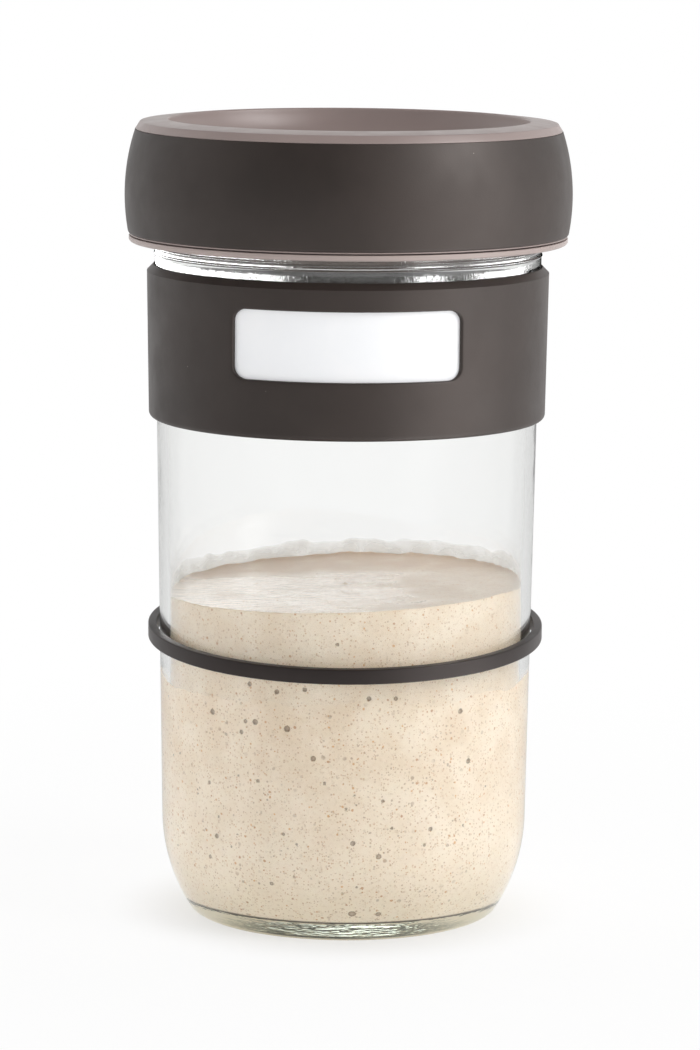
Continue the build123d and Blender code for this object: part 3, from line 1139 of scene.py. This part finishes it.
ring_inner_radius = ring_outer_radius - ring_thickness
ring_outline = soften(
    [
        (ring_outer_radius, -ring_height / 2, ring_edge_rounding),
        (ring_outer_radius, ring_height / 2, ring_edge_rounding),
        (ring_inner_radius, ring_height / 2, edge_softness),
        (ring_inner_radius, -ring_height / 2, edge_softness),
    ]
)
level_ring = lathe("ring_band", ring_outline, shape=lean)
ring_silicone = silicone_material("ring_silicone_satin", srgb(42, 36, 35), 0.42, 0.3)
dress(level_ring, "ring", ring_silicone, "ring_silicone", "level_ring")

# Lid, stacked outwards and upwards from the glass neck
liner_skirt_inner = neck_radius + neck_gap
liner_skirt_outer = liner_skirt_inner + liner_skirt_wall
cap_skirt_inner = liner_skirt_outer + shell_gap
sleeve_seat = cap_skirt_inner + cap_skirt_wall
disc_underside = jar_height + rim_gap
disc_top = disc_underside + liner_disc
dish_underside = disc_top + shell_gap
dish_floor = dish_underside + cap_wall
lip_top = flange_bottom - lip_gap
lip_bottom = lip_top - lip_height
plug_radius = bore_radius - plug_gap
plug_inner = plug_radius - plug_wall
plug_bottom = disc_underside - plug_depth
seal_seat_radius = plug_radius - seal_seat_depth
seal_seat_top = plug_bottom + seal_height

liner_outline = soften(
    [
        (0, disc_top),
        (liner_skirt_outer, disc_top),
        (liner_skirt_outer, lip_top),
        (lip_radius, lip_top),
        (lip_radius, lip_bottom, lip_rounding),
        (liner_skirt_inner, lip_bottom),
        (liner_skirt_inner, disc_underside),
        (plug_radius, disc_underside),
        (plug_radius, seal_seat_top),
        (seal_seat_radius, seal_seat_top),
        (seal_seat_radius, plug_bottom),
        (plug_inner, plug_bottom),
        (plug_inner, disc_underside),
        (0, disc_underside),
    ],
    steps=5,
    closed=False,
    common=edge_softness,
)
taupe = plastic_material("taupe_plastic_satin", srgb(146, 131, 127), 0.36)
# Painted light: the liner is the cap's taupe plastic painted lighter, standing in for the light that reaches
# its lip under the sleeve
taupe_painted_lighter = plastic_material("taupe_plastic_satin_painted_lighter", srgb(166, 151, 146), 0.36)
liner = lathe("lid_liner_shell", liner_outline, closed=False)
dress(liner, "lid", taupe_painted_lighter, "taupe_plastic", "lid_liner")


def ellipse_points(centre, across, down, start, end, steps):
    """Points of an elliptical arc between two angles in degrees."""
    points = []
    for step in range(steps + 1):
        angle = math.radians(start + (end - start) * step / steps)
        points.append(Vector((centre[0] + across * math.cos(angle), centre[1] + down * math.sin(angle))))
    return points


dish_steps, under_steps, barrel_steps = 24, 12, 28
dish_start, dish_end = 270, 352
rim_outer_radius = sleeve_seat + sleeve_head_thickness
recess_floor_radius = sleeve_seat - rim_width - dish_width
dish_centre = (recess_floor_radius, rim_top)
under_rise = rim_top - dish_underside
under_sweep = 90 - math.degrees(math.asin(rim_thickness / under_rise))
dish = ellipse_points(dish_centre, dish_width, recess_depth, dish_start, dish_end, dish_steps)
under_dish = ellipse_points(
    dish_centre, dish_width + cap_wall, under_rise, dish_start, dish_start + under_sweep, under_steps
)
cap_corners = soften(
    [
        (*under_dish[-1],),
        (cap_skirt_inner, rim_top - rim_thickness),
        (cap_skirt_inner, flange_bottom),
        (flange_radius, flange_bottom),
        (flange_radius, flange_top),
        (sleeve_seat, flange_top, 0),
        (sleeve_seat, sleeve_top, 0),
        (rim_outer_radius, sleeve_top),
        (rim_outer_radius - rim_band_lean, rim_top - rim_shoulder_drop, rim_shoulder_rounding),
        (recess_floor_radius + dish_width, rim_top, recess_edge_rounding),
        (*dish[-1],),
    ],
    steps=6,
    closed=False,
    common=edge_softness,
)
cap_outline = [Vector((0, dish_underside)), *under_dish, *cap_corners[1:], *reversed(dish[:-1])]
cap_outline.append(Vector((0, dish_floor)))
cap = lathe("lid_cap_shell", cap_outline, closed=False)
dress(cap, "lid", taupe, "taupe_plastic", "lid_cap")


def sleeve_outline():
    """Barrel section of the grip sleeve: one arc through its head, bulge and foot."""
    head = Vector((rim_outer_radius, sleeve_top))
    bulge = Vector((sleeve_seat + sleeve_bulge_thickness, flange_top + sleeve_bulge_rise))
    foot = Vector((sleeve_seat + sleeve_foot_thickness, flange_top))
    system = np.array([[2 * p.x, 2 * p.y, 1] for p in (head, bulge, foot)])
    sums = np.array([p.dot(p) for p in (head, bulge, foot)])
    centre_x, centre_y, _ = np.linalg.solve(system, sums)
    outside = [head] + sweep_arc(Vector((centre_x, centre_y)), head, foot, barrel_steps)
    hem = [
        (*outside[-2],),
        (*foot, sleeve_foot_rounding),
        (sleeve_seat, flange_top, edge_softness),
        (sleeve_seat, sleeve_top),
    ]
    return outside[:-2] + soften(hem, steps=6, closed=False)


sleeve = lathe("lid_grip", sleeve_outline())
dress(sleeve, "lid", dark_silicone, "dark_silicone", "lid_grip_sleeve")

# Lid seal: the CAD piece with a smoky silicone finish
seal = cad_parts["lid_seal"]
seal.data.materials.clear()
seal.data.materials.append(silicone_material("smoky_seal", srgb(104, 95, 90), 0.4))

# Studio. Only sharp reflections see the panels: azimuth, where each starts and is full, strength
mirror_panels = ((-100, 0.42, 0.50, 8.0), (102, 0.88, 0.93, 6.0), (48.5, 0.983, 0.990, 8.0))
# Only blurred reflections see the window: azimuth, and where it starts and is full
pane_azimuth = 60
pane_span = (0.82, 0.93)


def sharp_panels(direction):
    """Strength of the panels in a direction."""
    strength = 0.0
    for azimuth, low, high, bright in mirror_panels:
        strength = direction.facing(azimuth).remap(low, high, 0.0, bright).most(strength)
    return strength


def floor_material():
    """White floor that shows the jar's shadow and melts into the white background, with painted light glowing
    under the jar.
    """
    material, nodes, shader, output, spot = new_material("white_floor")
    nodes.feed(shader, {"Base Color": (0.92, 0.92, 0.92, 1.0), "Roughness": 0.8, "Specular IOR Level": 0.1})
    distance, outward = spot.vector("LENGTH"), spot.vector("NORMALIZE")
    # The floor's own white, by its direction from the jar and by the ray that sees it
    strength = outward.facing(pane_azimuth).remap(*pane_span) * nodes.rough_ray() * 2.6 + 1.0
    aside = outward.part("X").math("ABSOLUTE")
    shade = aside.remap(0.15, 0.45, 0.03, 0.16) + aside.remap(0.6, 0.85, 0.0, 0.3)
    strength = strength * (shade * nodes.ray("Is Transmission Ray")).left()
    front = outward.facing(-5).remap(0.6, 0.85, 0.0, 0.9)
    dark = front.most(outward.part("Y").remap(0.3, 0.8, 0.0, 0.4))
    strength = strength * (dark * nodes.sharp_ray()).left()
    far = distance.remap(1.0, 1.25) * nodes.sharp_ray()
    strength = far.choose(strength, sharp_panels(outward))
    glow = nodes.get("Emission", "Emission", {"Color": WHITE, "Strength": strength})
    # Near the jar the floor is lit, so that it keeps the shadow, and further out it is pure white
    share = distance.remap(0.036, 0.06, 0.5, 0.9) + distance.remap(0.09, 0.34, 0.0, 0.1)
    mirrored = nodes.indirect_view() * spot.part("Y").remap(-0.6, -0.2, 0.4, 1.0)
    shown = share * nodes.ray("Is Camera Ray").most(mirrored)
    # Painted light: under the jar the floor glows for every ray, standing in for the light that the glass
    # base brings down to it
    shown = shown.most(distance.remap(0.03, 0.041, 0.62, 0.0)).most(far)
    lit = Value(nodes, shader.outputs["BSDF"])
    nodes.feed(output, {"Surface": nodes.get("MixShader", "Shader", {0: shown, 1: lit, 2: glow})})
    return material


def make_floor():
    """Wide flat floor at the jar's foot."""
    reach = 14.0
    mesh = bpy.data.meshes.new("floor")
    outline = [(-reach, -reach, 0), (reach, -reach, 0), (reach, reach, 0), (-reach, reach, 0)]
    mesh.from_pydata(outline, [], [(0, 1, 2, 3)])
    floor = add_object("floor", mesh)
    mesh.materials.append(floor_material())


make_floor()


def make_world():
    """White for the camera, a soft fill on the object, and a darker camera side in reflections."""
    world = bpy.data.worlds.new("studio")
    bpy.context.scene.world = world
    world.use_nodes = True
    world.node_tree.nodes.clear()
    nodes = Nodes(world.node_tree)
    direction = nodes.get("TexCoord", "Generated")
    side, depth, height = (direction.part(axis) for axis in "XYZ")
    # What lights the object
    around = height.remap(0.1, 0.5).choose(side.remap(-1.0, 0.4, 2.4, 1.7), depth.remap(-0.1, 0.5, 0.25, 1.3))
    # What glass and reflections show
    room = depth.remap(-0.8, 0.1, 0.2, 1.0) * height.remap(0.25, 0.85, 1.0, 0.35)
    gleam = side.remap(0.3, -0.2, 0.0, 1.3) * nodes.ray("Is Transmission Ray") * height.remap(0.05, 0.12)
    pane = direction.facing(pane_azimuth, 14).remap(*pane_span, 0.0, 2.9)
    room = room * (gleam + 1.0) + pane * nodes.rough_ray()
    panels = sharp_panels(direction) * height.remap(0.3, 0.5, 1.0, 0.0)
    room = nodes.sharp_ray().choose(room, panels)
    strength = nodes.indirect_view().choose(around, room).most(nodes.ray("Is Camera Ray"))
    back = nodes.get("Background", "Background", {"Color": WHITE, "Strength": strength})
    nodes.feed(nodes.tree.nodes.new("ShaderNodeOutputWorld"), {"Surface": back})


make_world()


def add_softbox(name, azimuth, distance, height, width, tall, power):
    """Area lamp that faces the jar, at an azimuth counted to the right of the camera."""
    data = bpy.data.lights.new(name, "AREA")
    data.shape = "RECTANGLE"
    data.size = width
    data.size_y = tall
    data.energy = power
    lamp = add_object(name, data)
    spot = Vector(toward(azimuth)) * distance + Vector((0, 0, height))
    lamp.location = spot
    lamp.rotation_mode = "QUATERNION"
    lamp.rotation_quaternion = (Vector((0, 0, 0.1)) - spot).to_track_quat("-Z", "Y")


add_softbox("key_light", 64, 0.9, 0.68, 0.4, 0.7, 4.6)

view = bpy.context.scene.view_settings
view.view_transform = "Standard"
